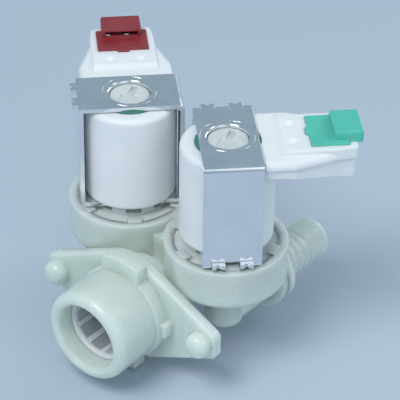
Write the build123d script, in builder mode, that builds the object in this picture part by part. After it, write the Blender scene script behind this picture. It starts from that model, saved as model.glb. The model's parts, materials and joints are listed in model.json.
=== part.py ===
"""Twin-solenoid water inlet valve of a washing machine, in millimetres.

The origin is the centre of the panel face of the mounting flange, on the inlet axis.
The inlet spout points along -Y, the two hose tails along +Y, and the solenoids stand along +Z.
"""
import os
from math import cos, radians, sin, sqrt

from build123d import *

# Layout
solenoid_pitch = 33.8
solenoid_y = 20.7
connector_angles = {"red": 135, "green": 45}
fit_gap = 0.3
snug_gap = 0.1

# Inlet spout and strainer seat
spout_r = 13.2
spout_length = 18.7
spout_bore_r = 9.6
spout_lip_r = 2.4
spout_throat_r = 0.9
spout_collar_r = 13.8
spout_collar_edge_r = 0.5

# Mounting flange, keys and pegs
flange_thickness = 3.0
flange_r = 16.4
ear_pitch = 50.6
ear_length = 8.6
ear_height = 8.8
ear_corner_r = 2.0
flange_edge_r = 1.1
key_r = 17.8
key_length = 4.0
key_edge_r = 0.7
top_key_width = 12.6
bottom_key_width = 11.0
side_lug_r = 15.4
side_lug_width = 4.4
side_lug_length = 3.0
peg_r = 3.6
peg_height = 4.0
peg_dome_r = 2.4

# Manifold behind the flange
neck_r = 12.0
neck_end_y = 9.0
manifold_r = 9.0
manifold_end_y = 27.0
manifold_bore_r = 6.6
manifold_end_wall = 2.4
bridge_width = 16.0
bridge_depth = 16.0
bridge_drop = 4.0
channel_width = 14.4
channel_depth = 7.4
washer_seat_y = 3.0
washer_r = 8.9
washer_thickness = 4.0
washer_bore_r = 2.6
washer_lip_r = 5.2
washer_dish = 1.2

# Valve cups
cup_r = 17.0
cup_wall = 2.3
cup_bottom_z = 7.4
cup_floor = 2.0
cup_foot_r = 2.2
rim_z = 19.4
rim_edge_r = 2.0
ledge_z = 14.6
chamber_r = 12.4
tooth_count = 6
tooth_angle = -45
tooth_width = 3.8
tooth_reach = 1.9
tooth_root = 0.5
tooth_height = 1.1

# Valve seats, elbows and outlet ducts
seat_r = 5.2
seat_bore_r = 3.6
seat_z = 13.4
boss_r = 5.4
boss_bottom_z = -8.4
boss_edge_r = 2.2
boss_floor = 2.2
outlet_z = -2.8
duct_r = 6.2
duct_end_y = 38.3
weld_r = 9.2
weld_thickness = 2.6
web_thickness = 2.4

# Hose tails
tail_disc = 3.2
tail_disc_edge_r = 0.7
tail_neck_r = 5.7
tail_land = 1.0
ridge_count = 4
ridge_pitch = 2.7
ridge_height = 0.4
tail_tip_r = 6.05
tail_tip_length = 9.0
tail_tip_edge_r = 2.0

# Inlet strainer
strainer_depth = 5.7
strainer_rim = 1.0
strainer_r = 9.0
strainer_wall = 0.75
strainer_end_y = 1.6
strainer_end_wall = 1.2
slit_groups = 10
slits_per_group = 8
slit_step = 3.3
slit_turn = 4
slit_width = 0.28
slit_front_margin = 0.2
slit_end_margin = 1.0

# Diaphragms
bead_thickness = 1.6
bead_width = 1.7
web_r = 5.4
web_gauge = 0.8
pad_thickness = 1.2
pad_hole_r = 1.5
insert_r = 5.0
insert_thickness = 1.4
pilot_r = 1.8
pilot_z = 17.6
pilot_bore_r = 0.6
bleed_r = 0.3
bleed_offset = 3.9

# Guide tubes
guide_flange_thickness = 2.7
guide_hub_r = 10.6
guide_hub_height = 1.7
guide_r = 5.4
guide_wall = 1.0
guide_top_z = 51.3
guide_end_wall = 1.4
guide_recess_r = 11.2
guide_recess = 1.2
guide_well_r = 8.0
guide_well_z = 18.6
hub_slot_count = 8
hub_slot_width = 4.3
hub_slot_depth = 3.0
hub_slot_height = 1.3
cap_slot_angle = 111
cap_slot_width = 1.9
cap_slot_steps = 3
cap_slot_length = 4.6
cap_slot_depth = 0.9
cap_tongue_width = 4.3
cap_tongue_depth = 0.35

# Armatures
armature_bottom_z = 19.0
armature_lift = 2.5
armature_stop_gap = 0.5
seal_r = 2.2
seal_depth = 2.2
spring_pocket_r = 3.1
spring_pocket = 10.0
spring_wire_r = 0.3
spring_wire_sides = 6
spring_turns = 6
spring_land = 0.3

# Coils
coil_wall = 1.6
coil_top_z = 50.7
coil_edge_r = 1.5
coil_foot_r = 1.2
bobbin_bore_gap = 0.2
bobbin_wall = 1.0
bobbin_flange_r = 11.2
bobbin_flange = 1.2
bobbin_boss_r = 8.8
bobbin_bottom_boss = 1.0
bobbin_top_boss = 1.5
winding_inset = 0.3

# Connector shells, in the direction of the connector
shell_start = 8.2
shell_shoulder = 16.5
shell_neck = 28.2
shell_end = 33.4
shell_neck_half_width = 8.9
shell_end_half_width = 8.3
shell_top_z = 52.4
shell_ledge_z = 49.0
shell_inset = 0.5
shell_heel_x = 14.5
shell_heel_z = 46.2
shell_toe_z = 42.6
shell_corner_r = 1.2
shell_wing_z = 51.3
shell_wing_r = 1.8
deck_start = 12.6
deck_ramp = 1.6
deck_edge_r = 0.4
socket_start = 21.0
socket_half_width = 6.4
socket_floor_z = 46.4
dent_x = 16.4
dent_y = 4.2
dent_r = 2.2
dent_depth = 0.8

# Terminals
blade_width = 2.8
blade_thickness = 0.8
blade_spacing = 6.4
blade_z = 48.6
blade_gap = 0.4
blade_end = 28.0
blade_tip = 0.6

# Coloured connector keys
key_plate_start = 21.1
key_plate_end = 31.2
key_plate_half_width = 7.0
key_plate_bottom_z = 51.0
key_plate_top_z = 52.9
key_nub_length = 0.8
key_nub_width = 3.0
latch_start = 27.2
latch_end = 35.0
latch_half_width = 5.5
latch_top_z = 55.4
latch_bottom_z = 52.1
latch_corner_r = 0.8
latch_edge_r = 0.5
latch_slit_half_width = 4.5
latch_slit_floor_z = 53.4
latch_slit_height = 1.3
latch_slit_depth = 6.2
latch_window_start = 27.8
latch_window_end = 32.2
latch_window_width = 1.3
latch_windows = (3.7, -1.5)

# Yokes
yoke_width = 15.9
yoke_play = 0.2
yoke_gauge = 1.25
yoke_top_z = 52.3
yoke_bend_r = 2.4
yoke_hole_r = 5.6
yoke_hole_edge_r = 0.65
coin_r = 7.3
coin_width = 0.3
coin_depth = 0.08
foot_drop = 0.35
foot_width = 2.35
notch_gap = 0.05
tenon_spacing = 7.5
tenon_width = 3.6
tenon_proud = 1.7
stake_groove = 0.9

# Levels and radii that follow from the values above
inner_cup_r = cup_r - cup_wall
bead_top_z = ledge_z + bead_thickness
flange_top_z = bead_top_z + guide_flange_thickness
hub_top_z = flange_top_z + guide_hub_height
base_top_z = hub_top_z + yoke_gauge
coil_bottom_z = base_top_z
guide_bore_r = guide_r - guide_wall
guide_roof_z = guide_top_z - guide_end_wall
armature_r = guide_bore_r - fit_gap
armature_top_z = guide_roof_z - armature_lift - armature_stop_gap
bobbin_bore_r = guide_r + bobbin_bore_gap
bobbin_tube_r = bobbin_bore_r + bobbin_wall
bobbin_top_z = yoke_top_z - yoke_gauge
lower_flange_z = coil_bottom_z + bobbin_bottom_boss
upper_flange_z = bobbin_top_z - bobbin_top_boss
winding_r = bobbin_flange_r - winding_inset
coil_r = bobbin_flange_r + coil_wall
shell_half_width = coil_r
blade_start = bobbin_flange_r + blade_gap
strainer_front_y = strainer_depth - spout_length
yoke_inside = coil_r + yoke_play
yoke_half = yoke_inside + yoke_gauge
tail_start_y = duct_end_y
tail_ridge_y = tail_start_y + tail_disc + tail_land
tail_tip_y = tail_ridge_y + ridge_count * ridge_pitch
tail_end_y = tail_tip_y + tail_tip_length


def stand(x, angle=0):
    """Plane at a solenoid's foot, its x direction turned by an angle about the solenoid."""
    turn = radians(angle)
    return Plane(origin=(x, solenoid_y, 0), x_dir=(cos(turn), sin(turn), 0), z_dir=(0, 0, 1))


def upright(place):
    """Vertical plane through a solenoid: the place's x across and Z up."""
    return Plane(origin=place.origin, x_dir=place.x_dir, z_dir=-place.y_dir)


def crosswise(place):
    """Vertical plane through a solenoid: the place's y across and Z up."""
    return Plane(origin=place.origin, x_dir=place.y_dir, z_dir=place.x_dir)


def spindle(place):
    """Axis of a solenoid."""
    return Axis(place.origin, (0, 0, 1))


def save(part, label):
    """Label a finished piece and write it."""
    part.label = label
    export_step(part, f"parts/{label}.step")


os.makedirs("parts", exist_ok=True)
solenoid_x = {"red": -solenoid_pitch / 2, "green": solenoid_pitch / 2}
stands = [stand(x) for x in solenoid_x.values()]
outlet_planes = {
    colour: Plane(origin=(x, 0, outlet_z), x_dir=(1, 0, 0), z_dir=(0, 0, 1))
    for colour, x in solenoid_x.items()
}


# Valve body: spout, flange, manifold, cups and elbows in one moulding
with BuildPart() as valve_body:
    # Cups with rounded rims and feet
    for place in stands:
        with BuildSketch(upright(place)) as cup_section:
            with Locations((cup_r / 2, (rim_z + cup_bottom_z) / 2)):
                Rectangle(cup_r, rim_z - cup_bottom_z)
            outer_corners = cup_section.vertices().group_by(Axis.X)[-1].sort_by(Axis.Y)
            fillet(outer_corners[0], radius=cup_foot_r)
            fillet(outer_corners[1], radius=rim_edge_r)
        revolve(axis=spindle(place))
        # Elbow boss below the cup
        with BuildSketch(upright(place)) as boss_section:
            with Locations((boss_r / 2, (cup_bottom_z + cup_floor + boss_bottom_z) / 2)):
                Rectangle(boss_r, cup_bottom_z + cup_floor - boss_bottom_z)
            outer_corners = boss_section.vertices().group_by(Axis.X)[-1].sort_by(Axis.Y)
            fillet(outer_corners[0], radius=boss_edge_r)
        revolve(axis=spindle(place))
    # Outlet ducts with their weld plates and the webs above them
    for x in solenoid_x.values():
        with BuildSketch(Plane.XZ.offset(-duct_end_y)):
            with Locations((x, outlet_z)):
                Circle(duct_r)
        extrude(amount=duct_end_y - solenoid_y)
        with BuildSketch(Plane.XZ.offset(-duct_end_y)):
            with Locations((x, outlet_z)):
                Circle(weld_r)
        extrude(amount=weld_thickness)
        with BuildSketch(Plane.XZ.offset(-duct_end_y)):
            with Locations((x, (outlet_z + cup_bottom_z + cup_floor) / 2)):
                Rectangle(web_thickness, cup_bottom_z + cup_floor - outlet_z)
        extrude(amount=duct_end_y - solenoid_y)
    # Bridge between the cups and the manifold under it
    with BuildSketch(Plane.XY.offset(bridge_drop)):
        with Locations((0, solenoid_y)):
            Rectangle(bridge_width, bridge_depth)
    extrude(amount=ledge_z + bead_thickness - bridge_drop)
    with BuildSketch(Plane.XZ.offset(-manifold_end_y)):
        Circle(manifold_r)
    extrude(amount=manifold_end_y)
    with BuildSketch(Plane.XZ.offset(-neck_end_y)):
        Circle(neck_r)
    extrude(amount=neck_end_y)
    # Flange with two ears
    with BuildSketch(Plane.XZ.offset(-flange_thickness)):
        Circle(flange_r)
        with GridLocations(ear_pitch, 0, 2, 1):
            RectangleRounded(ear_length, ear_height, ear_corner_r)
        make_hull()
    extrude(amount=flange_thickness)
    flange_faces = valve_body.faces().filter_by(Axis.Y).group_by(Axis.Y)
    fillet(flange_faces[0].sort_by(SortBy.AREA)[-1].outer_wire().edges(), radius=flange_edge_r)
    # Spout with a rounded lip
    with BuildSketch(Plane.XY) as spout_section:
        with Locations((spout_r / 2, -spout_length / 2)):
            Rectangle(spout_r, spout_length)
        fillet(spout_section.vertices().group_by(Axis.Y)[0].sort_by(Axis.X)[-1], radius=spout_lip_r)
    revolve(axis=Axis.Y)
    with BuildSketch(Plane.XZ):
        Circle(spout_collar_r)
    extrude(amount=key_length)
    collar_edges = valve_body.edges().filter_by(GeomType.CIRCLE).filter_by(
        lambda edge: abs(edge.radius - spout_collar_r) < snug_gap
    )
    fillet(collar_edges.sort_by(Axis.Y)[0], radius=spout_collar_edge_r)
    # Bayonet keys at the root of the spout
    for angle, width, reach, length in (
        (90, top_key_width, key_r, key_length),
        (270, bottom_key_width, key_r, key_length),
        (0, side_lug_width, side_lug_r, side_lug_length),
        (180, side_lug_width, side_lug_r, side_lug_length),
    ):
        with BuildSketch(Plane.XZ) as key_section:
            Circle(reach)
            with PolarLocations(reach / 2, 1, start_angle=angle):
                Rectangle(reach, width, mode=Mode.INTERSECT)
            fillet(key_section.vertices().sort_by_distance((0, 0))[-2:], radius=key_edge_r)
        extrude(amount=length)
    # Domed pegs on the ears
    with BuildSketch(Plane.XZ):
        with GridLocations(ear_pitch, 0, 2, 1):
            Circle(peg_r)
    extrude(amount=peg_height)
    rims = valve_body.edges().filter_by(GeomType.CIRCLE)
    peg_rims = rims.filter_by(lambda edge: abs(edge.radius - peg_r) < 0.01)
    fillet(peg_rims.group_by(Axis.Y)[0], radius=peg_dome_r)
    # Spout bore, flow washer seat and manifold bore
    with BuildSketch(Plane.XZ.offset(spout_length)):
        Circle(spout_bore_r)
    extrude(amount=-(spout_length + washer_seat_y), mode=Mode.SUBTRACT)
    with BuildSketch(Plane.XZ.offset(-washer_seat_y)):
        Circle(washer_r + snug_gap)
    extrude(amount=-washer_thickness, mode=Mode.SUBTRACT)
    with BuildSketch(Plane.XZ.offset(-washer_seat_y)):
        Circle(manifold_bore_r)
    extrude(amount=-(manifold_end_y - manifold_end_wall - washer_seat_y), mode=Mode.SUBTRACT)
    mouth_edges = valve_body.edges().filter_by(GeomType.CIRCLE).group_by(Axis.Y)[0]
    chamfer(mouth_edges.sort_by(SortBy.RADIUS)[0], length=spout_throat_r)
    # Cup bores and water chambers
    for place in stands:
        with BuildSketch(place.offset(ledge_z)):
            Circle(inner_cup_r)
        extrude(amount=rim_z, mode=Mode.SUBTRACT)
        with BuildSketch(place.offset(cup_bottom_z + cup_floor)):
            Circle(chamber_r)
        extrude(amount=rim_z, mode=Mode.SUBTRACT)
    # Channel that joins the manifold to both chambers
    with BuildSketch(Plane.XY):
        with Locations((0, solenoid_y)):
            Rectangle(channel_width, channel_depth)
    extrude(amount=ledge_z - cup_floor, mode=Mode.SUBTRACT)
    for place in stands:
        # Seat tube in the middle of the chamber
        with BuildSketch(place.offset(cup_bottom_z)):
            Circle(seat_r)
        extrude(amount=seat_z - cup_bottom_z)
        with BuildSketch(place.offset(boss_bottom_z + boss_floor)):
            Circle(seat_bore_r)
        extrude(amount=rim_z - boss_bottom_z, mode=Mode.SUBTRACT)
        # Snap teeth over the guide flange
        with BuildSketch(place.offset(flange_top_z + snug_gap)):
            tooth_mid_r = inner_cup_r + (tooth_root - tooth_reach) / 2
            with PolarLocations(tooth_mid_r, tooth_count, start_angle=tooth_angle):
                Rectangle(tooth_reach + tooth_root, tooth_width)
        extrude(amount=tooth_height)
    for x in solenoid_x.values():
        with BuildSketch(Plane.XZ.offset(-duct_end_y)):
            with Locations((x, outlet_z)):
                Circle(seat_bore_r)
        extrude(amount=duct_end_y - solenoid_y, mode=Mode.SUBTRACT)
save(valve_body.part, "valve_body")


# Hose tails: weld disc, ridged neck and rounded tip
for colour, axis_plane in outlet_planes.items():
    with BuildPart() as outlet_tail:
        with BuildSketch(axis_plane) as tail_section:
            with BuildLine():
                ridge_points = []
                for i in range(ridge_count):
                    ridge_points.append((tail_neck_r, tail_ridge_y + i * ridge_pitch))
                    crest_y = tail_ridge_y + (i + 0.25) * ridge_pitch
                    ridge_points.append((tail_neck_r + ridge_height, crest_y))
                Polyline(
                    (seat_bore_r, tail_start_y),
                    (weld_r, tail_start_y),
                    (weld_r, tail_start_y + tail_disc),
                    (tail_neck_r, tail_start_y + tail_disc),
                    *ridge_points,
                    (tail_neck_r, tail_tip_y),
                    (tail_tip_r, tail_tip_y + tail_tip_r - tail_neck_r),
                    (tail_tip_r, tail_end_y),
                    (seat_bore_r, tail_end_y),
                    close=True,
                )
            make_face()
            tip_corner = tail_section.vertices().group_by(Axis.Y)[-1].sort_by(Axis.X)[-1]
            fillet(tip_corner, radius=tail_tip_edge_r)
            disc_corners = tail_section.vertices().sort_by(Axis.X)[-2:]
            fillet(disc_corners.sort_by(Axis.Y)[-1], radius=tail_disc_edge_r)
        revolve(axis=Axis(axis_plane.origin, (0, 1, 0)))
    save(outlet_tail.part, f"{colour}_outlet_tail")


# Inlet strainer: slotted basket, open towards the mouth
with BuildPart() as inlet_strainer:
    with BuildSketch(Plane.XY) as basket_section:
        with BuildLine():
            Polyline(
                (strainer_r - strainer_wall, strainer_front_y),
                (spout_bore_r - snug_gap, strainer_front_y),
                (spout_bore_r - snug_gap, strainer_front_y + strainer_rim),
                (strainer_r, strainer_front_y + strainer_rim),
                (strainer_r, strainer_end_y),
                (0, strainer_end_y),
                (0, strainer_end_y - strainer_end_wall),
                (strainer_r - strainer_wall, strainer_end_y - strainer_end_wall),
                close=True,
            )
        make_face()
    revolve(axis=Axis.Y)
    # Groups of fine slits between solid pillars
    slit_start_y = strainer_front_y + strainer_rim + slit_front_margin
    slit_end_y = strainer_end_y - strainer_end_wall - slit_end_margin
    with BuildSketch(Plane.XZ.offset(-slit_start_y)):
        for i in range(slits_per_group):
            first_angle = slit_turn + (i - (slits_per_group - 1) / 2) * slit_step
            with PolarLocations(strainer_r - strainer_wall / 2, slit_groups, start_angle=first_angle):
                Rectangle(2 * strainer_wall, slit_width)
    extrude(amount=slit_start_y - slit_end_y, mode=Mode.SUBTRACT)
save(inlet_strainer.part, "inlet_strainer")


# Flow washer: dished rubber ring on the step of the inlet bore
with BuildPart() as flow_washer:
    with BuildSketch(Plane.XY):
        with BuildLine():
            Polyline(
                (washer_bore_r, washer_seat_y + washer_dish),
                (washer_lip_r, washer_seat_y),
                (washer_r, washer_seat_y),
                (washer_r, washer_seat_y + washer_thickness),
                (washer_bore_r, washer_seat_y + washer_thickness),
                close=True,
            )
        make_face()
    revolve(axis=Axis.Y)
save(flow_washer.part, "flow_washer")


def diaphragm(place):
    """Rubber membrane: clamped bead, thin web and thick pad over the seat."""
    bead_r = inner_cup_r - fit_gap
    bead_inner_r = bead_r - bead_width
    with BuildPart() as membrane:
        with BuildSketch(upright(place)):
            with BuildLine():
                Polyline(
                    (pad_hole_r, seat_z),
                    (web_r, seat_z),
                    (chamber_r - snug_gap, ledge_z),
                    (bead_r, ledge_z),
                    (bead_r, bead_top_z),
                    (bead_inner_r, bead_top_z),
                    (bead_inner_r, ledge_z + web_gauge),
                    (web_r, seat_z + web_gauge),
                    (web_r, seat_z + pad_thickness),
                    (pad_hole_r, seat_z + pad_thickness),
                    close=True,
                )
            make_face()
        revolve(axis=spindle(place))
    return membrane.part


def diaphragm_insert(place):
    """Stiff disc on the pad, with the pilot nozzle and the bleed hole."""
    pad_top_z = seat_z + pad_thickness
    with BuildPart() as insert:
        with BuildSketch(upright(place)):
            with BuildLine():
                Polyline(
                    (pilot_bore_r, seat_z),
                    (pad_hole_r - snug_gap, seat_z),
                    (pad_hole_r - snug_gap, pad_top_z),
                    (insert_r, pad_top_z),
                    (insert_r, pad_top_z + insert_thickness),
                    (pilot_r, pad_top_z + insert_thickness),
                    (pilot_r * 0.7, pilot_z),
                    (pilot_bore_r, pilot_z),
                    close=True,
                )
            make_face()
        revolve(axis=spindle(place))
        with BuildSketch(place.offset(pad_top_z)):
            with Locations((bleed_offset, 0)):
                Circle(bleed_r)
        extrude(amount=insert_thickness, mode=Mode.SUBTRACT)
    return insert.part


def guide_tube(place):
    """Closed plastic tube round the armature, on a flange that clamps the diaphragm."""
    with BuildPart() as guide:
        with BuildSketch(upright(place)):
            with BuildLine():
                Polyline(
                    (0, guide_top_z),
                    (guide_r, guide_top_z),
                    (guide_r, hub_top_z),
                    (guide_hub_r, hub_top_z),
                    (guide_hub_r, flange_top_z),
                    (inner_cup_r - fit_gap, flange_top_z),
                    (inner_cup_r - fit_gap, bead_top_z),
                    (guide_recess_r, bead_top_z),
                    (guide_recess_r, bead_top_z + guide_recess),
                    (guide_well_r, bead_top_z + guide_recess),
                    (guide_well_r, guide_well_z),
                    (guide_bore_r, guide_well_z),
                    (guide_bore_r, guide_roof_z),
                    (0, guide_roof_z),
                    close=True,
                )
            make_face()
        revolve(axis=spindle(place))
        # Slots round the hub
        with BuildSketch(place.offset(hub_top_z - hub_slot_height)):
            with PolarLocations(guide_hub_r, hub_slot_count, start_angle=tooth_angle):
                RectangleRounded(2 * hub_slot_depth, hub_slot_width, hub_slot_depth * 0.6)
        extrude(amount=hub_slot_height, mode=Mode.SUBTRACT)
        # Slot that goes down in steps, and a lowered tongue, in the closed end
        for step in range(cap_slot_steps):
            reach = cap_slot_length * (step + 1) / cap_slot_steps
            with BuildSketch(place.offset(guide_top_z)):
                with PolarLocations(cap_slot_length - reach / 2, 1, start_angle=cap_slot_angle):
                    Rectangle(reach, cap_slot_width)
            extrude(amount=-cap_slot_depth * (cap_slot_steps - step) / cap_slot_steps, mode=Mode.SUBTRACT)
        with BuildSketch(place.offset(guide_top_z)):
            with PolarLocations(cap_slot_length / 2, 1, start_angle=cap_slot_angle + 180):
                Rectangle(cap_slot_length, cap_tongue_width)
        extrude(amount=-cap_tongue_depth, mode=Mode.SUBTRACT)
    return guide.part


def armature(place):
    """Steel plunger with a spring pocket above and a seal pocket below."""
    with BuildPart() as plunger:
        with BuildSketch(place.offset(armature_bottom_z)):
            Circle(armature_r)
        extrude(amount=armature_top_z - armature_bottom_z)
        chamfer(plunger.edges().group_by(Axis.Z)[-1], length=0.5)
        with BuildSketch(place.offset(armature_top_z)):
            Circle(spring_pocket_r)
        extrude(amount=-spring_pocket, mode=Mode.SUBTRACT)
        with BuildSketch(place.offset(armature_bottom_z)):
            Circle(seal_r)
        extrude(amount=seal_depth, mode=Mode.SUBTRACT)
    return plunger.part


def armature_seal(place):
    """Rubber plug in the foot of the plunger, over the pilot nozzle."""
    with BuildPart() as plug:
        with BuildSketch(place.offset(pilot_z + snug_gap)):
            Circle(seal_r - snug_gap)
        extrude(amount=armature_bottom_z + seal_depth - pilot_z - snug_gap)
        chamfer(plug.edges().group_by(Axis.Z)[0], length=0.3)
    return plug.part


def armature_spring(place):
    """Return spring between the plunger's pocket and the closed end of the guide."""
    coil_mean_r = spring_pocket_r - spring_wire_r - fit_gap
    foot_z = armature_top_z - spring_pocket + spring_land
    head_z = guide_roof_z - spring_land
    rise = head_z - foot_z - 2 * spring_wire_r
    with BuildPart() as spring:
        with BuildLine():
            helix = Helix(
                pitch=rise / spring_turns,
                height=rise,
                radius=coil_mean_r,
                center=place.origin + Vector(0, 0, foot_z + spring_wire_r),
            )
        with BuildSketch(Plane(origin=helix @ 0, z_dir=helix % 0)):
            RegularPolygon(spring_wire_r, spring_wire_sides)
        sweep()
    return spring.part


def bobbin(place):
    """Winding former with two flanges and short end bosses."""
    with BuildPart() as former:
        with BuildSketch(upright(place)):
            with BuildLine():
                Polyline(
                    (bobbin_bore_r, coil_bottom_z),
                    (bobbin_boss_r, coil_bottom_z),
                    (bobbin_boss_r, lower_flange_z),
                    (bobbin_flange_r, lower_flange_z),
                    (bobbin_flange_r, lower_flange_z + bobbin_flange),
                    (bobbin_tube_r, lower_flange_z + bobbin_flange),
                    (bobbin_tube_r, upper_flange_z - bobbin_flange),
                    (bobbin_flange_r, upper_flange_z - bobbin_flange),
                    (bobbin_flange_r, upper_flange_z),
                    (bobbin_boss_r, upper_flange_z),
                    (bobbin_boss_r, bobbin_top_z),
                    (bobbin_bore_r, bobbin_top_z),
                    close=True,
                )
            make_face()
        revolve(axis=spindle(place))
    return former.part


def winding(place):
    """Copper winding as one ring between the bobbin's flanges."""
    with BuildPart() as copper:
        with BuildSketch(place.offset(lower_flange_z + bobbin_flange)):
            Circle(winding_r)
            Circle(bobbin_tube_r + notch_gap, mode=Mode.SUBTRACT)
        extrude(amount=upper_flange_z - lower_flange_z - 2 * bobbin_flange)
    return copper.part


def shell_outline(inset):
    """Plan of the connector shell, seen from above, moved in by an inset."""
    half_width = shell_half_width - inset
    neck_half_width = shell_neck_half_width - inset
    end_half_width = shell_end_half_width - inset
    end = shell_end - inset
    Polyline(
        (shell_start, -half_width),
        (shell_shoulder, -half_width),
        (shell_neck, -neck_half_width),
        (end, -end_half_width),
        (end, end_half_width),
        (shell_neck, neck_half_width),
        (shell_shoulder, half_width),
        (shell_start, half_width),
        close=True,
    )


def coil_housing(place):
    """White moulding over the winding, with the connector shell in one piece."""
    with BuildPart() as housing:
        # Lower shell with a sloping underside
        with BuildSketch(place.offset(shell_toe_z)):
            with BuildLine():
                shell_outline(shell_inset)
            make_face()
        extrude(amount=shell_ledge_z - shell_toe_z)
        with BuildSketch(upright(place)):
            with BuildLine():
                Polyline(
                    (shell_start, shell_toe_z),
                    (shell_start, shell_heel_z),
                    (shell_heel_x, shell_heel_z),
                    (shell_end, shell_toe_z),
                    close=True,
                )
            make_face()
        extrude(amount=shell_half_width, both=True, mode=Mode.SUBTRACT)
        # Upper shell that stands out over the lower one, with rounded wings
        with BuildSketch(place.offset(shell_ledge_z)):
            with BuildLine():
                shell_outline(0)
            make_face()
        extrude(amount=shell_wing_z - shell_ledge_z)
        along = Axis(place.origin, place.x_dir)
        wing_rim = housing.faces().filter_by(Axis.Z).sort_by(Axis.Z)[-1].outer_wire().edges()
        fillet(wing_rim.sort_by(along)[1:], radius=shell_wing_r)
        # Raised deck between the wings, with a ramp on the side of the coil
        with BuildSketch(place.offset(shell_ledge_z)):
            with BuildLine():
                Polyline(
                    (shell_start, -shell_neck_half_width),
                    (shell_neck, -shell_neck_half_width),
                    (shell_end, -shell_end_half_width),
                    (shell_end, shell_end_half_width),
                    (shell_neck, shell_neck_half_width),
                    (shell_start, shell_neck_half_width),
                    close=True,
                )
            make_face()
        extrude(amount=shell_top_z - shell_ledge_z)
        with BuildSketch(upright(place)):
            with BuildLine():
                Polyline(
                    (shell_start, shell_wing_z),
                    (deck_start, shell_wing_z),
                    (deck_start + deck_ramp, shell_top_z),
                    (shell_start, shell_top_z),
                    close=True,
                )
            make_face()
        extrude(amount=shell_neck_half_width, both=True, mode=Mode.SUBTRACT)
        end_edges = housing.edges().filter_by(Axis.Z).sort_by(along)[-4:]
        fillet(end_edges, radius=shell_corner_r)
        deck_rim = housing.faces().filter_by(Axis.Z).sort_by(Axis.Z)[-1].outer_wire().edges()
        fillet(deck_rim, radius=deck_edge_r)
        # Drum over the winding
        with BuildSketch(upright(place)) as drum_section:
            with Locations((coil_r / 2, (coil_top_z + coil_bottom_z) / 2)):
                Rectangle(coil_r, coil_top_z - coil_bottom_z)
            fillet(drum_section.vertices().group_by(Axis.X)[-1].sort_by(Axis.Y)[0], radius=coil_foot_r)
            fillet(drum_section.vertices().group_by(Axis.X)[-1].sort_by(Axis.Y)[-1], radius=coil_edge_r)
        revolve(axis=spindle(place))
        # Room for the bobbin and its winding
        with BuildSketch(upright(place)):
            with BuildLine():
                Polyline(
                    (0, coil_bottom_z),
                    (bobbin_boss_r + notch_gap, coil_bottom_z),
                    (bobbin_boss_r + notch_gap, lower_flange_z),
                    (bobbin_flange_r + notch_gap, lower_flange_z),
                    (bobbin_flange_r + notch_gap, upper_flange_z),
                    (bobbin_boss_r + notch_gap, upper_flange_z),
                    (bobbin_boss_r + notch_gap, shell_top_z),
                    (0, shell_top_z),
                    close=True,
                )
            make_face()
        revolve(axis=spindle(place), mode=Mode.SUBTRACT)
        # Socket, open at the end and up to the coloured key
        socket_length = shell_end - socket_start
        with BuildSketch(place.offset(socket_floor_z)):
            with Locations((socket_start + socket_length / 2, 0)):
                Rectangle(socket_length, 2 * socket_half_width)
        extrude(amount=key_plate_bottom_z - socket_floor_z, mode=Mode.SUBTRACT)
        with BuildSketch(place.offset(key_plate_bottom_z)):
            plate_length = key_plate_end - key_plate_start + 2 * notch_gap
            with Locations(((key_plate_start + key_plate_end) / 2, 0)):
                Rectangle(plate_length, 2 * (key_plate_half_width + notch_gap))
            with Locations((key_plate_start - key_nub_length / 2, 0)):
                Rectangle(key_nub_length + 2 * notch_gap, key_nub_width + 2 * notch_gap)
            with Locations(((key_plate_end + shell_end) / 2, 0)):
                Rectangle(shell_end - key_plate_end + 2 * notch_gap, 2 * (latch_half_width + notch_gap))
        extrude(amount=shell_top_z - key_plate_bottom_z, mode=Mode.SUBTRACT)
        # Slots that hold the terminals
        with BuildSketch(place.offset(blade_z - notch_gap)):
            blade_slot = socket_start - blade_start + 2 * notch_gap
            with Locations((blade_start - notch_gap + blade_slot / 2, 0)):
                with GridLocations(0, blade_spacing, 1, 2):
                    Rectangle(blade_slot, blade_width + 2 * notch_gap)
        extrude(amount=blade_thickness + 2 * notch_gap, mode=Mode.SUBTRACT)
        # Two hollows in the deck, between the ramp and the key
        with Locations(place.offset(shell_top_z + dent_r - dent_depth)):
            with Locations((dent_x, dent_y), (dent_x, -dent_y)):
                Sphere(dent_r, mode=Mode.SUBTRACT)
    return housing.part


def coil_terminals(place):
    """Two flat blades from the winding into the socket."""
    with BuildPart() as blades:
        with BuildSketch(place.offset(blade_z)):
            with Locations(((blade_start + blade_end) / 2, 0)):
                with GridLocations(0, blade_spacing, 1, 2):
                    Rectangle(blade_end - blade_start, blade_width)
        extrude(amount=blade_thickness)
        along = Axis(place.origin, place.x_dir)
        tip_edges = blades.edges().filter_by(Axis.Z).sort_by(along)[-4:]
        chamfer(tip_edges, length=blade_tip)
    return blades.part


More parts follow.
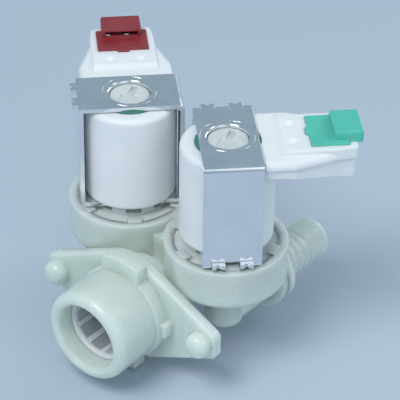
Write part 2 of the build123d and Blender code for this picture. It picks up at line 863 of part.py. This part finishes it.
def connector_key(place):
    """Coloured key plate with a raised latch over the mouth of the socket."""
    with BuildPart() as key:
        with BuildSketch(place.offset(key_plate_bottom_z)):
            with Locations(((key_plate_start + key_plate_end) / 2, 0)):
                Rectangle(key_plate_end - key_plate_start, 2 * key_plate_half_width)
            with Locations((key_plate_start - key_nub_length / 2, 0)):
                Rectangle(key_nub_length, key_nub_width)
        extrude(amount=key_plate_top_z - key_plate_bottom_z)
        # Raised latch that hangs over the end of the shell
        with BuildSketch(upright(place)) as latch_section:
            with BuildLine():
                Polyline(
                    (latch_start, key_plate_bottom_z),
                    (latch_start, latch_top_z),
                    (latch_end, latch_top_z),
                    (latch_end, latch_bottom_z),
                    (shell_end - shell_inset, latch_bottom_z),
                    (shell_end - shell_inset, key_plate_bottom_z),
                    close=True,
                )
            make_face()
        extrude(amount=latch_half_width, both=True)
        uprights = key.edges().filter_by(Axis.Z)
        corner_edges = uprights.filter_by(lambda edge: edge.center().Z > latch_slit_floor_z)
        fillet(corner_edges, radius=latch_corner_r)
        latch_roof = key.faces().filter_by(Axis.Z).sort_by(Axis.Z)[-1]
        fillet(latch_roof.outer_wire().edges(), radius=latch_edge_r)
        # Slit under the roof of the latch, and two openings down to the socket
        with BuildSketch(place.offset(latch_slit_floor_z)):
            with Locations((latch_start + latch_slit_depth / 2, 0)):
                Rectangle(latch_slit_depth, 2 * latch_slit_half_width)
        extrude(amount=latch_slit_height, mode=Mode.SUBTRACT)
        with BuildSketch(place.offset(key_plate_bottom_z)):
            for window_y in latch_windows:
                with Locations(((latch_window_start + latch_window_end) / 2, window_y)):
                    Rectangle(latch_window_end - latch_window_start, latch_window_width)
        extrude(amount=latch_slit_floor_z - key_plate_bottom_z, mode=Mode.SUBTRACT)
    return key.part


def tenons(place, along, level):
    """Plan of two tenons that reach through the other bracket."""
    block_length = yoke_gauge + tenon_proud
    with BuildSketch(place.offset(level)) as plan:
        with Locations((0, along * (yoke_inside + block_length / 2))):
            with GridLocations(tenon_spacing, 0, 2, 1):
                Rectangle(tenon_width, block_length)
    return plan.sketch


def chisel_marks(place, along, level):
    """Plan of the grooves that spread the tenons' ends."""
    with BuildSketch(place.offset(level)) as plan:
        with Locations((0, along * (yoke_half + tenon_proud))):
            with GridLocations(tenon_spacing, 0, 2, 1):
                Rectangle(stake_groove * sqrt(2), stake_groove * sqrt(2), rotation=45)
    return plan.sketch


def bent_plate(place, corners, bend_point, inner_point):
    """Section of a bent plate, drawn across the yoke, with its bend rounded."""
    with BuildSketch(crosswise(place)) as section:
        with BuildLine():
            Polyline(*corners, close=True)
        make_face()
        fillet(section.vertices().sort_by_distance(bend_point)[0], radius=yoke_bend_r)
        fillet(section.vertices().sort_by_distance(inner_point)[0], radius=yoke_bend_r - yoke_gauge)
    return section.sketch


def yoke_top(place):
    """Bent steel bracket: top plate with a coined hole and one side."""
    plate_z = yoke_top_z - yoke_gauge
    foot_z = hub_top_z - foot_drop
    with BuildPart() as bracket:
        section = bent_plate(
            place,
            [
                (-yoke_half, foot_z),
                (-yoke_half, yoke_top_z),
                (yoke_inside, yoke_top_z),
                (yoke_inside, plate_z),
                (-yoke_inside, plate_z),
                (-yoke_inside, foot_z),
            ],
            (-yoke_half, yoke_top_z),
            (-yoke_inside, plate_z),
        )
        extrude(section, amount=yoke_width / 2, both=True)
        # Wide notch in the foot for the other bracket's tenons and a tooth of the cup
        with BuildSketch(place.offset(foot_z)):
            with Locations((0, -yoke_half)):
                Rectangle(yoke_width - 2 * foot_width, 4 * yoke_gauge)
        extrude(amount=base_top_z + notch_gap - foot_z, mode=Mode.SUBTRACT)
        extrude(tenons(place, 1, plate_z), amount=yoke_gauge)
        extrude(chisel_marks(place, 1, plate_z), amount=yoke_gauge, mode=Mode.SUBTRACT)
        # Hole for the guide tube, with a rounded edge and a coined ring
        with BuildSketch(place.offset(yoke_top_z)):
            Circle(yoke_hole_r)
        extrude(amount=-2 * yoke_gauge, mode=Mode.SUBTRACT)
        hole_edges = bracket.edges().filter_by(GeomType.CIRCLE).filter_by(
            lambda edge: abs(edge.radius - yoke_hole_r) < 0.01
        )
        fillet(hole_edges.sort_by(Axis.Z)[-1], radius=yoke_hole_edge_r)
        with BuildSketch(place.offset(yoke_top_z)):
            Circle(coin_r + coin_width / 2)
            Circle(coin_r - coin_width / 2, mode=Mode.SUBTRACT)
        extrude(amount=-coin_depth, mode=Mode.SUBTRACT)
    return bracket.part


def yoke_base(place):
    """Bent steel bracket: bottom plate and the other side."""
    with BuildPart() as bracket:
        section = bent_plate(
            place,
            [
                (yoke_half, yoke_top_z),
                (yoke_half, hub_top_z),
                (-yoke_inside, hub_top_z),
                (-yoke_inside, base_top_z),
                (yoke_inside, base_top_z),
                (yoke_inside, yoke_top_z),
            ],
            (yoke_half, hub_top_z),
            (yoke_inside, base_top_z),
        )
        extrude(section, amount=yoke_width / 2, both=True)
        # Notches in the head for the other bracket's tenons
        with BuildSketch(place.offset(yoke_top_z)):
            with Locations((0, yoke_half)):
                with GridLocations(tenon_spacing, 0, 2, 1):
                    Rectangle(tenon_width + 2 * notch_gap, 4 * yoke_gauge)
        extrude(amount=-(yoke_gauge + notch_gap), mode=Mode.SUBTRACT)
        extrude(tenons(place, -1, hub_top_z), amount=yoke_gauge)
        extrude(chisel_marks(place, -1, hub_top_z), amount=yoke_gauge, mode=Mode.SUBTRACT)
        with BuildSketch(place.offset(hub_top_z)):
            Circle(yoke_hole_r)
        extrude(amount=yoke_gauge, mode=Mode.SUBTRACT)
    return bracket.part


# Two solenoid sets: the guide stays square to the body and the coil is turned outwards
for colour, x in solenoid_x.items():
    square = stand(x)
    turned = stand(x, connector_angles[colour])
    save(diaphragm(square), f"{colour}_diaphragm")
    save(diaphragm_insert(square), f"{colour}_diaphragm_insert")
    save(guide_tube(square), f"{colour}_guide_tube")
    save(armature(square), f"{colour}_armature")
    save(armature_seal(square), f"{colour}_armature_seal")
    save(armature_spring(square), f"{colour}_armature_spring")
    save(bobbin(turned), f"{colour}_bobbin")
    save(winding(turned), f"{colour}_winding")
    save(coil_housing(turned), f"{colour}_coil_housing")
    save(coil_terminals(turned), f"{colour}_coil_terminals")
    save(connector_key(turned), f"{colour}_connector_key")
    save(yoke_top(turned), f"{colour}_yoke_top")
    save(yoke_base(turned), f"{colour}_yoke_base")
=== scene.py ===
import json
from math import cos, radians, sin

import bpy
from mathutils import Euler, Matrix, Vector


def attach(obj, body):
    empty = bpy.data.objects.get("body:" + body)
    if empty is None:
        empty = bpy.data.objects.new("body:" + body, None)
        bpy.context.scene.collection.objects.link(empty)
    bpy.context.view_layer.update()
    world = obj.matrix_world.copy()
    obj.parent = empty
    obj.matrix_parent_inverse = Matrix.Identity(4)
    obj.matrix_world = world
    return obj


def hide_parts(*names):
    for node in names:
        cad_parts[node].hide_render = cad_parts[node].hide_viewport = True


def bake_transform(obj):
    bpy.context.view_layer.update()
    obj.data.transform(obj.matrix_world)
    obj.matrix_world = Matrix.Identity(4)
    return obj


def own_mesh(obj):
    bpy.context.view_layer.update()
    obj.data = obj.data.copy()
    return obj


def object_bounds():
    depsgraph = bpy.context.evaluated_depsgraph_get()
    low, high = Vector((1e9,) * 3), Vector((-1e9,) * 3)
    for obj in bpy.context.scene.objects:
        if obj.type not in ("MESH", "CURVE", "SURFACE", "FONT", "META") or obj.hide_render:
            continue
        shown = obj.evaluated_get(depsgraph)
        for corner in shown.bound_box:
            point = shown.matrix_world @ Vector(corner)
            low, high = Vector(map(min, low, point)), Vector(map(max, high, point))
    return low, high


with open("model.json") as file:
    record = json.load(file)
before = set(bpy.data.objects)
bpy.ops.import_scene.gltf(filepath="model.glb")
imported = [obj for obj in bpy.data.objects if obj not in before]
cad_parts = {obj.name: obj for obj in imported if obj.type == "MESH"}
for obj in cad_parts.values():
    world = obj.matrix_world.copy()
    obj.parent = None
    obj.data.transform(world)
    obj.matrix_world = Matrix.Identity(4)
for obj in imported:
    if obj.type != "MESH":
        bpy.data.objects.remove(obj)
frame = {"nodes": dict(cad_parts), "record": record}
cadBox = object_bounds()
cadNodes = frame["nodes"]
cupCentres = {"red": (-0.0169, 0.0207), "green": (0.0169, 0.0207)}  # axes of the two solenoids
print("valve frame loaded:", len(cadNodes), "pieces")


# surface effects that several finishes share

effects = {
    "noiseLow": 0.3, "noiseHigh": 0.7,
    "cloudDetail": 3.0, "grainDetail": 2.0,
    "lineStretch": (1.0, 1.0, 0.04), "lineDetail": 3.0, "spotDetail": 4.0,
    "edgeRays": 6, "edgeStart": 0.99, "edgeFull": 0.82, "edgeDetail": 3.0, "edgeGaps": (0.35, 1.0),
}


def newGroup(name, inputs, outputs):
    group = bpy.data.node_groups.new(name, "ShaderNodeTree")
    for label, kind, value in inputs:
        socket = group.interface.new_socket(label, in_out="INPUT", socket_type=kind)
        socket.default_value = value
    for label, kind in outputs:
        group.interface.new_socket(label, in_out="OUTPUT", socket_type=kind)
    return group, group.nodes.new("NodeGroupInput"), group.nodes.new("NodeGroupOutput")


def noiseNode(tree, vector, scale, detail):
    node = tree.nodes.new("ShaderNodeTexNoise")
    node.inputs["Detail"].default_value = detail
    tree.links.new(vector, node.inputs["Vector"])
    tree.links.new(scale, node.inputs["Scale"])
    return node.outputs["Fac"]


def spread(tree, value, low, high):
    # noise sits near 0.5, so its middle part is stretched over the wanted span
    node = tree.nodes.new("ShaderNodeMapRange")
    node.inputs["From Min"].default_value = effects["noiseLow"]
    node.inputs["From Max"].default_value = effects["noiseHigh"]
    node.inputs["To Min"].default_value = low
    node.inputs["To Max"].default_value = high
    tree.links.new(value, node.inputs["Value"])
    return node.outputs["Result"]


def buildMouldGroup():
    # moulded plastic: slow clouding of the colour and a fine grain for the bump
    group, source, result = newGroup(
        "mouldedSurface",
        [("Cloud Scale", "NodeSocketFloat", 90.0), ("Grain Scale", "NodeSocketFloat", 2600.0)],
        [("Cloud", "NodeSocketFloat"), ("Grain", "NodeSocketFloat")],
    )
    place = group.nodes.new("ShaderNodeTexCoord").outputs["Object"]
    cloud = noiseNode(group, place, source.outputs["Cloud Scale"], effects["cloudDetail"])
    grain = noiseNode(group, place, source.outputs["Grain Scale"], effects["grainDetail"])
    group.links.new(cloud, result.inputs["Cloud"])
    group.links.new(grain, result.inputs["Grain"])
    return group


def buildScratchGroup():
    # plated sheet: fine drawn lines along one direction, and soft spots
    group, source, result = newGroup(
        "platedSurface",
        [("Line Scale", "NodeSocketFloat", 1400.0), ("Spot Scale", "NodeSocketFloat", 160.0)],
        [("Lines", "NodeSocketFloat"), ("Spots", "NodeSocketFloat")],
    )
    place = group.nodes.new("ShaderNodeTexCoord").outputs["Object"]
    stretch = group.nodes.new("ShaderNodeMapping")
    stretch.inputs["Scale"].default_value = effects["lineStretch"]
    group.links.new(place, stretch.inputs["Vector"])
    lines = noiseNode(group, stretch.outputs["Vector"], source.outputs["Line Scale"], effects["lineDetail"])
    spots = noiseNode(group, place, source.outputs["Spot Scale"], effects["spotDetail"])
    group.links.new(lines, result.inputs["Lines"])
    group.links.new(spots, result.inputs["Spots"])
    return group


def buildEdgeGroup():
    # rounded normal of an edge, and a mask that is strongest on the edge and broken up by noise
    group, source, result = newGroup(
        "edgeSoftness",
        [("Radius", "NodeSocketFloat", 0.0004), ("Break Scale", "NodeSocketFloat", 900.0)],
        [("Edge", "NodeSocketFloat"), ("Normal", "NodeSocketVector")],
    )
    bevel = group.nodes.new("ShaderNodeBevel")
    bevel.samples = effects["edgeRays"]
    group.links.new(source.outputs["Radius"], bevel.inputs["Radius"])
    turn = group.nodes.new("ShaderNodeVectorMath")
    turn.operation = "DOT_PRODUCT"
    group.links.new(bevel.outputs["Normal"], turn.inputs[0])
    group.links.new(group.nodes.new("ShaderNodeNewGeometry").outputs["Normal"], turn.inputs[1])
    edge = group.nodes.new("ShaderNodeMapRange")
    edge.inputs["From Min"].default_value = effects["edgeStart"]
    edge.inputs["From Max"].default_value = effects["edgeFull"]
    group.links.new(turn.outputs["Value"], edge.inputs["Value"])
    place = group.nodes.new("ShaderNodeTexCoord").outputs["Object"]
    breaks = noiseNode(group, place, source.outputs["Break Scale"], effects["edgeDetail"])
    mask = group.nodes.new("ShaderNodeMath")
    mask.operation = "MULTIPLY"
    group.links.new(edge.outputs["Result"], mask.inputs[0])
    group.links.new(spread(group, breaks, *effects["edgeGaps"]), mask.inputs[1])
    group.links.new(mask.outputs["Value"], result.inputs["Edge"])
    group.links.new(bevel.outputs["Normal"], result.inputs["Normal"])
    return group


mouldGroup = buildMouldGroup()
scratchGroup = buildScratchGroup()
edgeGroup = buildEdgeGroup()
print("shared surface effects ready")


# finishes

bumps = {"grainDepth": 0.0001, "lineDepth": 0.00005}
glowTint = (1.0, 1.0, 0.9)


def startFinish(name):
    material = bpy.data.materials.new(name)
    material.use_nodes = True
    tree = material.node_tree
    return material, tree, tree.nodes["Principled BSDF"]


def blendColours(tree, factor, first, second):
    mix = tree.nodes.new("ShaderNodeMix")
    mix.data_type = "RGBA"
    for label, colour in (("A", first), ("B", second)):
        if hasattr(colour, "is_output"):
            tree.links.new(colour, mix.inputs[label])
        else:
            mix.inputs[label].default_value = (*colour, 1.0)
    tree.links.new(factor, mix.inputs["Factor"])
    return mix.outputs["Result"]


def dress(tree, shader, look, secondTone, tones, height, strength, depth):
    # colour in two tones with paler edges that paint a highlight along rounded edges, roughness that follows
    # the tones, and bump on rounded edges
    edges = tree.nodes.new("ShaderNodeGroup")
    edges.node_tree = edgeGroup
    edges.inputs["Radius"].default_value = look["edgeRadius"]
    edges.inputs["Break Scale"].default_value = look["edgeBreak"]
    body = blendColours(tree, spread(tree, tones, 0.0, 1.0), look["colour"], look[secondTone])
    # painted highlight: the edge mask blends the colour towards a paler tone on rounded edges
    edgeHighlit = blendColours(tree, edges.outputs["Edge"], body, look["edgeHighlightColour"])
    tree.links.new(edgeHighlit, shader.inputs["Base Color"])
    tree.links.new(spread(tree, tones, *look["roughness"]), shader.inputs["Roughness"])
    bump = tree.nodes.new("ShaderNodeBump")
    bump.inputs["Strength"].default_value = strength
    bump.inputs["Distance"].default_value = depth
    tree.links.new(edges.outputs["Normal"], bump.inputs["Normal"])
    tree.links.new(height, bump.inputs["Height"])
    tree.links.new(bump.outputs["Normal"], shader.inputs["Normal"])


def plasticFinish(name, look):
    material, tree, shader = startFinish(name)
    mould = tree.nodes.new("ShaderNodeGroup")
    mould.node_tree = mouldGroup
    mould.inputs["Cloud Scale"].default_value = look["cloudScale"]
    mould.inputs["Grain Scale"].default_value = look["grainScale"]
    cloud, grain = mould.outputs["Cloud"], mould.outputs["Grain"]
    dress(tree, shader, look, "cloudColour", cloud, grain, look["grain"], bumps["grainDepth"])
    shader.inputs["Subsurface Weight"].default_value = look["glow"]
    shader.inputs["Subsurface Radius"].default_value = glowTint
    shader.inputs["Subsurface Scale"].default_value = look["glowDepth"]
    shader.inputs["Specular IOR Level"].default_value = look["gloss"]
    return material


def metalFinish(name, look):
    material, tree, shader = startFinish(name)
    plated = tree.nodes.new("ShaderNodeGroup")
    plated.node_tree = scratchGroup
    plated.inputs["Line Scale"].default_value = look["lineScale"]
    plated.inputs["Spot Scale"].default_value = look["spotScale"]
    spots, lines = plated.outputs["Spots"], plated.outputs["Lines"]
    dress(tree, shader, look, "spotColour", spots, lines, look["lines"], bumps["lineDepth"])
    shader.inputs["Metallic"].default_value = 1.0
    return material


# the edge colour of each look is a painted highlight along rounded edges
plasticLooks = {
    "natural_plastic": {
        "colour": (0.61, 0.69, 0.62), "cloudColour": (0.68, 0.75, 0.69), "edgeHighlightColour": (0.78, 0.85, 0.79),
        "cloudScale": 70.0, "grainScale": 2200.0, "grain": 0.12, "edgeRadius": 0.0003, "edgeBreak": 500.0,
        "roughness": (0.17, 0.30), "glow": 0.9, "glowDepth": 0.007, "gloss": 0.5,
    },
    "clear_plastic": {
        "colour": (0.64, 0.69, 0.66), "cloudColour": (0.73, 0.77, 0.75), "edgeHighlightColour": (0.76, 0.80, 0.78),
        "cloudScale": 110.0, "grainScale": 2600.0, "grain": 0.10, "edgeRadius": 0.0003, "edgeBreak": 700.0,
        "roughness": (0.20, 0.32), "glow": 0.7, "glowDepth": 0.003, "gloss": 0.5,
    },
    "white_plastic": {
        "colour": (0.82, 0.84, 0.85), "cloudColour": (0.87, 0.88, 0.89), "edgeHighlightColour": (0.90, 0.91, 0.91),
        "cloudScale": 80.0, "grainScale": 2400.0, "grain": 0.10, "edgeRadius": 0.0004, "edgeBreak": 700.0,
        "roughness": (0.30, 0.42), "glow": 0.25, "glowDepth": 0.002, "gloss": 0.5,
    },
    "bobbin_plastic": {
        "colour": (0.045, 0.19, 0.14), "cloudColour": (0.06, 0.23, 0.18), "edgeHighlightColour": (0.10, 0.30, 0.24),
        "cloudScale": 120.0, "grainScale": 2600.0, "grain": 0.12, "edgeRadius": 0.0003, "edgeBreak": 900.0,
        "roughness": (0.38, 0.50), "glow": 0.1, "glowDepth": 0.001, "gloss": 0.4,
    },
    "red_plastic": {
        "colour": (0.26, 0.024, 0.03), "cloudColour": (0.31, 0.038, 0.046), "edgeHighlightColour": (0.38, 0.07, 0.08),
        "cloudScale": 150.0, "grainScale": 2800.0, "grain": 0.12, "edgeRadius": 0.0003, "edgeBreak": 900.0,
        "roughness": (0.30, 0.44), "glow": 0.1, "glowDepth": 0.001, "gloss": 0.5,
    },
    "green_plastic": {
        "colour": (0.085, 0.53, 0.41), "cloudColour": (0.11, 0.59, 0.47), "edgeHighlightColour": (0.20, 0.68, 0.56),
        "cloudScale": 150.0, "grainScale": 2800.0, "grain": 0.12, "edgeRadius": 0.0003, "edgeBreak": 900.0,
        "roughness": (0.30, 0.44), "glow": 0.15, "glowDepth": 0.001, "gloss": 0.5,
    },
    "rubber": {
        "colour": (0.012, 0.012, 0.012), "cloudColour": (0.02, 0.02, 0.02), "edgeHighlightColour": (0.04, 0.04, 0.04),
        "cloudScale": 200.0, "grainScale": 3000.0, "grain": 0.25, "edgeRadius": 0.0003, "edgeBreak": 900.0,
        "roughness": (0.55, 0.70), "glow": 0.0, "glowDepth": 0.001, "gloss": 0.3,
    },
}
# the edge colour of each look is a painted highlight along rounded edges
metalLooks = {
    "zinc_steel": {
        "colour": (0.76, 0.79, 0.82), "spotColour": (0.83, 0.85, 0.87), "edgeHighlightColour": (0.92, 0.93, 0.94),
        "lineScale": 1300.0, "spotScale": 140.0, "lines": 0.10, "edgeRadius": 0.0002, "edgeBreak": 1200.0,
        "roughness": (0.08, 0.17),
    },
    "plunger_steel": {
        "colour": (0.50, 0.50, 0.50), "spotColour": (0.56, 0.56, 0.55), "edgeHighlightColour": (0.66, 0.66, 0.66),
        "lineScale": 1800.0, "spotScale": 200.0, "lines": 0.15, "edgeRadius": 0.0002, "edgeBreak": 1200.0,
        "roughness": (0.28, 0.38),
    },
    "spring_steel": {
        "colour": (0.44, 0.44, 0.45), "spotColour": (0.50, 0.50, 0.50), "edgeHighlightColour": (0.60, 0.60, 0.60),
        "lineScale": 2400.0, "spotScale": 300.0, "lines": 0.10, "edgeRadius": 0.0001, "edgeBreak": 1500.0,
        "roughness": (0.25, 0.35),
    },
    "copper_wire": {
        "colour": (0.50, 0.19, 0.08), "spotColour": (0.56, 0.23, 0.10), "edgeHighlightColour": (0.66, 0.30, 0.15),
        "lineScale": 2600.0, "spotScale": 260.0, "lines": 0.30, "edgeRadius": 0.0002, "edgeBreak": 1500.0,
        "roughness": (0.30, 0.42),
    },
    "terminal_brass": {
        "colour": (0.62, 0.55, 0.38), "spotColour": (0.68, 0.62, 0.46), "edgeHighlightColour": (0.78, 0.72, 0.55),
        "lineScale": 1800.0, "spotScale": 240.0, "lines": 0.12, "edgeRadius": 0.0001, "edgeBreak": 1500.0,
        "roughness": (0.22, 0.32),
    },
}

finishes = {name: plasticFinish(name, look) for name, look in plasticLooks.items()}
finishes.update({name: metalFinish(name, look) for name, look in metalLooks.items()})
for entry in frame["record"]["subparts"]:
    piece = cadNodes[entry["node"]]
    piece.data.materials.clear()
    piece.data.materials.append(finishes[entry["material_slot"]])
print("finishes on", len(cadNodes), "pieces")


# melted bead between the cup and the guide tube's flange

weldBead = {
    "height": 0.01895, "ringRadius": 0.01452, "beadRadius": 0.0005, "ringSteps": 220, "beadSteps": 10,
    "waver": 0.00008, "waverSeed": 7, "waverMix": 0.5, "smoothing": 0.4,
    "lumpWidth": 0.0011, "lumpHeight": 0.0005,
}


def layBead(colour, centre):
    bpy.ops.object.select_all(action="DESELECT")
    bpy.ops.mesh.primitive_torus_add(
        location=(*centre, weldBead["height"]),
        major_radius=weldBead["ringRadius"], minor_radius=weldBead["beadRadius"],
        major_segments=weldBead["ringSteps"], minor_segments=weldBead["beadSteps"],
    )
    bead = bpy.context.object
    bead.name = colour + "WeldBead"
    bpy.ops.object.transform_apply(location=True, rotation=True, scale=True)
    bpy.ops.object.mode_set(mode="EDIT")
    bpy.ops.mesh.select_all(action="SELECT")
    bpy.ops.transform.vertex_random(
        offset=weldBead["waver"], uniform=weldBead["waverMix"], normal=weldBead["waverMix"],
        seed=weldBead["waverSeed"],
    )
    bpy.ops.mesh.vertices_smooth(factor=weldBead["smoothing"], repeat=1)
    bpy.ops.object.mode_set(mode="OBJECT")
    lumps = bpy.data.textures.new(colour + "BeadLumps", "CLOUDS")
    lumps.noise_scale = weldBead["lumpWidth"]
    swell = bead.modifiers.new("lumps", "DISPLACE")
    swell.texture = lumps
    swell.texture_coords = "LOCAL"
    swell.strength = weldBead["lumpHeight"]
    bpy.ops.object.modifier_apply(modifier="lumps")
    bpy.ops.object.shade_smooth()
    bead.data.materials.append(finishes["natural_plastic"])
    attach(bead, "valve")


for cupColour, cupCentre in cupCentres.items():
    layBead(cupColour, cupCentre)
print("weld beads laid in", len(cupCentres), "cups")


# return springs wound round the two solenoid axes

returnSpring = {
    "foot": 0.0372, "head": 0.0496, "coilRadius": 0.0025, "turns": 6, "turnSteps": 28,
    "wireRadius": 0.0003, "wireSides": 10, "mergeWithin": 0.000001, "smoothUnder": 50.0,
    "pressed": 0.8,  # share of the length that is left at full lift
}


def windSpring(colour, centre):
    wire = returnSpring["wireRadius"]
    bpy.ops.object.select_all(action="DESELECT")
    bpy.ops.mesh.primitive_circle_add(
        vertices=returnSpring["wireSides"], radius=wire, location=(*centre, returnSpring["foot"] + wire),
    )
    spring = bpy.context.object
    spring.name = colour + "ReturnSpring"
    bpy.ops.object.mode_set(mode="EDIT")
    bpy.ops.mesh.select_all(action="SELECT")
    bpy.ops.transform.rotate(value=radians(90.0), orient_axis="X")
    bpy.ops.transform.translate(value=(returnSpring["coilRadius"], 0.0, 0.0))
    bpy.ops.object.mode_set(mode="OBJECT")
    rise = returnSpring["head"] - returnSpring["foot"] - 2.0 * wire
    coil = spring.modifiers.new("coil", "SCREW")
    coil.axis = "Z"
    coil.iterations = returnSpring["turns"]
    coil.screw_offset = rise / returnSpring["turns"]
    coil.steps = returnSpring["turnSteps"]
    coil.use_merge_vertices = False
    bpy.ops.object.modifier_apply(modifier="coil")
    bpy.ops.object.mode_set(mode="EDIT")
    bpy.ops.mesh.select_all(action="SELECT")
    bpy.ops.mesh.remove_doubles(threshold=returnSpring["mergeWithin"])
    bpy.ops.mesh.fill_holes(sides=returnSpring["wireSides"])
    bpy.ops.mesh.normals_make_consistent(inside=False)
    bpy.ops.object.mode_set(mode="OBJECT")
    bpy.ops.object.transform_apply(location=True, rotation=True, scale=True)
    bpy.ops.object.shade_smooth_by_angle(angle=radians(returnSpring["smoothUnder"]))
    spring.data.materials.append(finishes["spring_steel"])
    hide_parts(colour + "_armature_spring")
    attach(spring, "valve")
    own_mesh(spring)


for cupColour, cupCentre in cupCentres.items():
    windSpring(cupColour, cupCentre)
print("return springs wound")


# rubber membranes cut into quarters

membrane = {"height": 0.0146, "quarters": 4, "heldFrom": 0.0086, "liftsWithin": 0.0054}


def cutQuarter(colour, centre, number):
    bpy.ops.object.select_all(action="DESELECT")
    node = colour + "_diaphragm"
    quarter = bpy.data.objects.new(f"{colour}Membrane{number + 1}", cadNodes[node].data.copy())
    bpy.context.collection.objects.link(quarter)
    bpy.context.view_layer.objects.active = quarter
    quarter.select_set(True)
    step = 360.0 / membrane["quarters"]
    first, last, middle = (radians(step * (number + share)) for share in (0.0, 1.0, 0.5))
    bpy.ops.object.mode_set(mode="EDIT")
    for side in ((-sin(first), cos(first), 0.0), (sin(last), -cos(last), 0.0)):
        bpy.ops.mesh.select_all(action="SELECT")
        bpy.ops.mesh.bisect(plane_co=(*centre, membrane["height"]), plane_no=side, clear_inner=True)
    bpy.ops.object.mode_set(mode="OBJECT")
    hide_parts(node)
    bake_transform(quarter)


for cupColour, cupCentre in cupCentres.items():
    for quarterNumber in range(membrane["quarters"]):
        cutQuarter(cupColour, cupCentre, quarterNumber)
print("membranes cut into quarters")


# floor, light and camera

studio = {
    "floorSize": 6.0, "floorColour": (0.50, 0.57, 0.66), "floorRoughness": 0.7,
    "worldColour": (0.63, 0.83, 0.98), "worldStrength": 0.50,
}
lamps = {
    "keyLight": {"place": (0.00, -0.50, 0.80), "size": 0.42, "watts": 4.7},
    "fillLight": {"place": (0.75, -0.20, 0.40), "size": 0.60, "watts": 0.9},
    "backLight": {"place": (0.42, 0.50, 0.66), "size": 0.30, "watts": 0.8},
    "rearLight": {"place": (0.10, 0.95, 0.12), "size": 0.60, "watts": 2.2},  # for views from behind
}
photoView = {
    "place": (0.30773, -0.35784, 0.36990), "azimuth": 38.391, "elevation": 35.32, "roll": 0.844,
    "lens": 197.2, "sensor": 36.0, "nearest": 0.01,
}


def layFloor():
    bpy.ops.object.select_all(action="DESELECT")
    bpy.ops.mesh.primitive_plane_add(size=studio["floorSize"], location=(0.0, 0.0, cadBox[0][2]))
    floor = bpy.context.object
    floor.name = "studioFloor"
    material, _, shader = startFinish("studioPaper")
    shader.inputs["Base Color"].default_value = (*studio["floorColour"], 1.0)
    shader.inputs["Roughness"].default_value = studio["floorRoughness"]
    floor.data.materials.append(material)


def hangLamp(name, lamp):
    light = bpy.data.lights.new(name, "AREA")
    light.energy = lamp["watts"]
    light.size = lamp["size"]
    holder = bpy.data.objects.new(name, light)
    bpy.context.collection.objects.link(holder)
    holder.location = lamp["place"]
    holder.rotation_euler = (-holder.location).to_track_quat("-Z", "Y").to_euler()


def setWorld():
    world = bpy.data.worlds.new("studioWorld")
    world.use_nodes = True
    sky = world.node_tree.nodes["Background"]
    sky.inputs["Color"].default_value = (*studio["worldColour"], 1.0)
    sky.inputs["Strength"].default_value = studio["worldStrength"]
    bpy.context.scene.world = world


def placeCamera():
    lens = bpy.data.cameras.new("photoCamera")
    lens.sensor_width = photoView["sensor"]
    lens.lens = photoView["lens"]
    lens.clip_start = photoView["nearest"]
    camera = bpy.data.objects.new("photoCamera", lens)
    bpy.context.collection.objects.link(camera)
    tilt = radians(90.0 - photoView["elevation"])
    turn = Euler((tilt, 0.0, radians(photoView["azimuth"]))).to_matrix()
    turn = turn @ Matrix.Rotation(radians(photoView["roll"]), 3, "Z")
    camera.location = photoView["place"]
    camera.rotation_euler = turn.to_euler()
    bpy.context.scene.camera = camera


layFloor()
for lampName, lampValues in lamps.items():
    hangLamp(lampName, lampValues)
setWorld()
placeCamera()
bpy.context.scene.view_settings.view_transform = "Standard"
print("floor, light and camera set")
